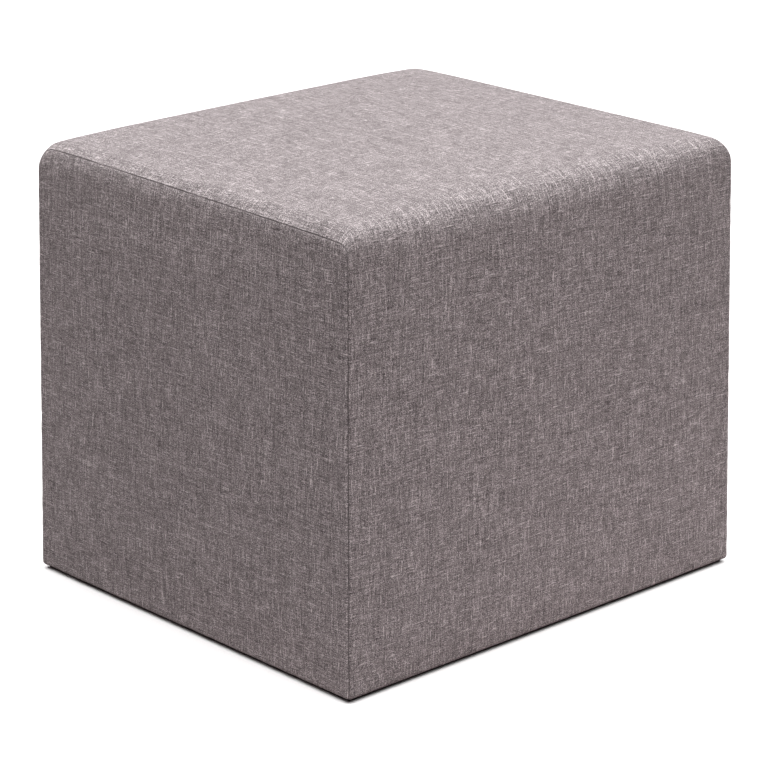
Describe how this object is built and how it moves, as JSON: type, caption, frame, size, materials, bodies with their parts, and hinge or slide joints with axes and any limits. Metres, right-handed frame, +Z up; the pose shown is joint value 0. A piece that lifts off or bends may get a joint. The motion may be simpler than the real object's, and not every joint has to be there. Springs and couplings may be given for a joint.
{
  "type": "cube pouf stool",
  "caption": "Upholstered cube pouf stool: a filled block in a wrapped strip of linen-look cloth, with sewn side panels and a thin base cloth.",
  "frame": {"origin": "middle of the footprint, on the surface that the pouf stands on", "axes": "+Z up; the wrapped strip runs up the front (-Y), over the seat and down the back (+Y); the sewn side panels face -X and +X"},
  "size_m": [0.4878, 0.4328, 0.42],
  "materials": {
    "wrap_cloth": "matt melange plain weave",
    "side_cloth": "matt melange plain weave",
    "base_cloth": "matt non-woven"
  },
  "bodies": {
    "root": {"wrap_panel": "wrap_cloth", "side_panel_left": "side_cloth", "side_panel_right": "side_cloth", "base_cloth": "base_cloth"}
  },
  "joints": []
}
